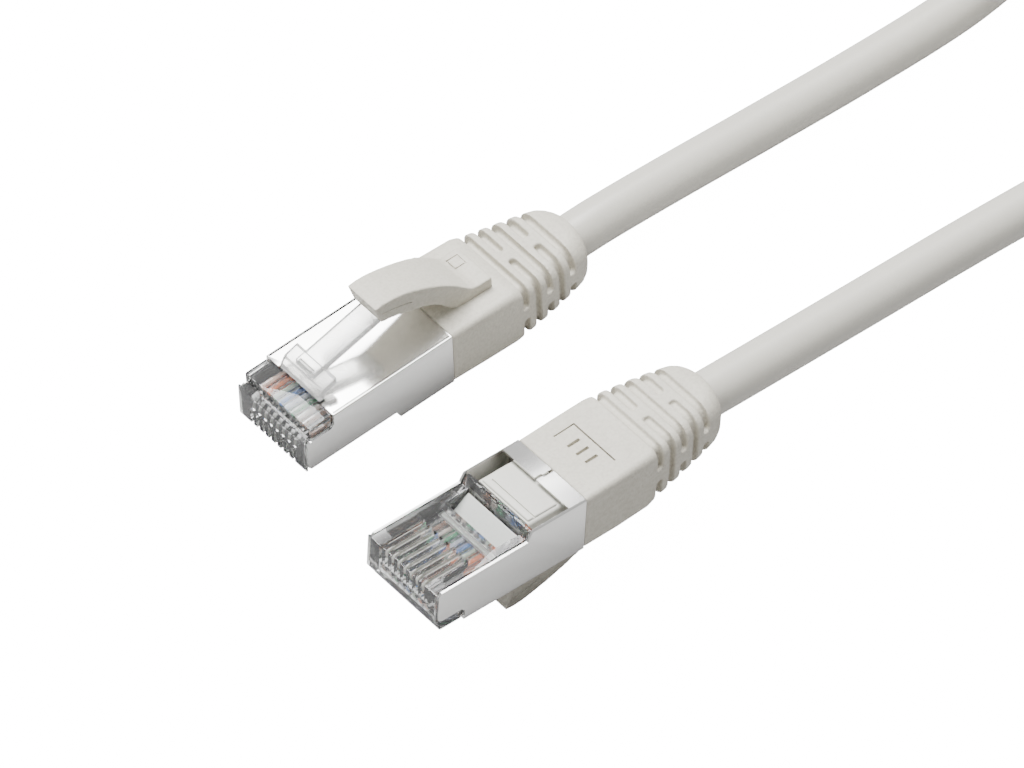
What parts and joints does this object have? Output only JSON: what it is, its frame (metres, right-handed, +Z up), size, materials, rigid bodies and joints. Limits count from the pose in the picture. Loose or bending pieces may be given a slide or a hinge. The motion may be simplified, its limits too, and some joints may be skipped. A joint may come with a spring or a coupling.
{
  "type": "ethernet patch cable",
  "caption": "Shielded network patch cable with a clear latching modular plug and ribbed moulded boot at each end, its cord folded into a tied hank.",
  "frame": {"origin": "on the table, under the middle of the box round the two plugs", "axes": "+X from the plugs' noses towards the cord, +Y from plug B to plug A, +Z up from the table"},
  "size_m": [0.2197, 0.0517, 0.0242],
  "materials": {
    "clear_polycarbonate": "clear moulded, polished",
    "nickel_shield": "bright nickel plate on thin sheet",
    "boot_rubber": "matt fine grained soft vinyl",
    "cord_jacket": "satin extruded vinyl",
    "cream_overmould": "satin moulded",
    "milky_plastic": "milky moulded",
    "contact_plating": "pale plated spring metal",
    "foil": "crinkled foil",
    "tie_fabric": "woven hook and loop strap",
    "wire_white_orange": "satin insulation",
    "wire_orange": "satin insulation",
    "wire_white_green": "satin insulation",
    "wire_blue": "satin insulation",
    "wire_white_blue": "satin insulation",
    "wire_green": "satin insulation",
    "wire_white_brown": "satin insulation",
    "wire_brown": "satin insulation"
  },
  "bodies": {
    "plugs_and_cord": {"shield_a": "nickel_shield", "housing_a": "clear_polycarbonate", "clamp_bar_a": "milky_plastic", "wire_guide_a": "milky_plastic", "jacket_end_a": "cord_jacket", "foil_wrap_a": "foil", "inner_overmould_a": "cream_overmould", "boot_a": "boot_rubber", "contact_1_a": "contact_plating", "wire_1_a": "wire_white_orange", "contact_2_a": "contact_plating", "wire_2_a": "wire_orange", "contact_3_a": "contact_plating", "wire_3_a": "wire_white_green", "contact_4_a": "contact_plating", "wire_4_a": "wire_blue", "contact_5_a": "contact_plating", "wire_5_a": "wire_white_blue", "contact_6_a": "contact_plating", "wire_6_a": "wire_green", "contact_7_a": "contact_plating", "wire_7_a": "wire_white_brown", "contact_8_a": "contact_plating", "wire_8_a": "wire_brown", "shield_b": "nickel_shield", "housing_b": "clear_polycarbonate", "clamp_bar_b": "milky_plastic", "wire_guide_b": "milky_plastic", "jacket_end_b": "cord_jacket", "foil_wrap_b": "foil", "inner_overmould_b": "cream_overmould", "boot_b": "boot_rubber", "contact_1_b": "contact_plating", "wire_1_b": "wire_white_orange", "contact_2_b": "contact_plating", "wire_2_b": "wire_orange", "contact_3_b": "contact_plating", "wire_3_b": "wire_white_green", "contact_4_b": "contact_plating", "wire_4_b": "wire_blue", "contact_5_b": "contact_plating", "wire_5_b": "wire_white_blue", "contact_6_b": "contact_plating", "wire_6_b": "wire_green", "contact_7_b": "contact_plating", "wire_7_b": "wire_white_brown", "contact_8_b": "contact_plating", "wire_8_b": "wire_brown", "cord_lead_a": "cord_jacket", "cord_lead_b": "cord_jacket", "cord_hank": "cord_jacket", "hank_tie": "tie_fabric"},
    "latch_arm_a": {"latch_a": "clear_polycarbonate"},
    "release_hood_a": {"hood_a": "boot_rubber"},
    "latch_arm_b": {"latch_b": "clear_polycarbonate"},
    "release_hood_b": {"hood_b": "boot_rubber"}
  },
  "joints": [
    {"name": "press_hood_a", "type": "hinge", "parent": "plugs_and_cord", "child": "release_hood_a", "pos_m": [0.0075, 0.01628, 0.00951], "axis": [0, -1, 0], "range_deg": [0, 11.5], "stiffness_Nm_per_rad": 0.01},
    {"name": "flex_latch_a", "type": "hinge", "parent": "plugs_and_cord", "child": "latch_arm_a", "pos_m": [-0.0134, 0.01628, 0.00784], "axis": [0, 1, 0], "range_deg": [0, 12]},
    {"name": "press_hood_b", "type": "hinge", "parent": "plugs_and_cord", "child": "release_hood_b", "pos_m": [-0.00108, -0.01628, 0.00585], "axis": [0, 1, 0], "range_deg": [0, 11.5], "stiffness_Nm_per_rad": 0.01},
    {"name": "flex_latch_b", "type": "hinge", "parent": "plugs_and_cord", "child": "latch_arm_b", "pos_m": [-0.02196, -0.01628, 0.00775], "axis": [0, -1, 0], "range_deg": [0, 12]}
  ],
  "couplings": [
    {"joint": "flex_latch_a", "follows": "press_hood_a", "ratio": 1.04},
    {"joint": "flex_latch_b", "follows": "press_hood_b", "ratio": 1.04}
  ]
}
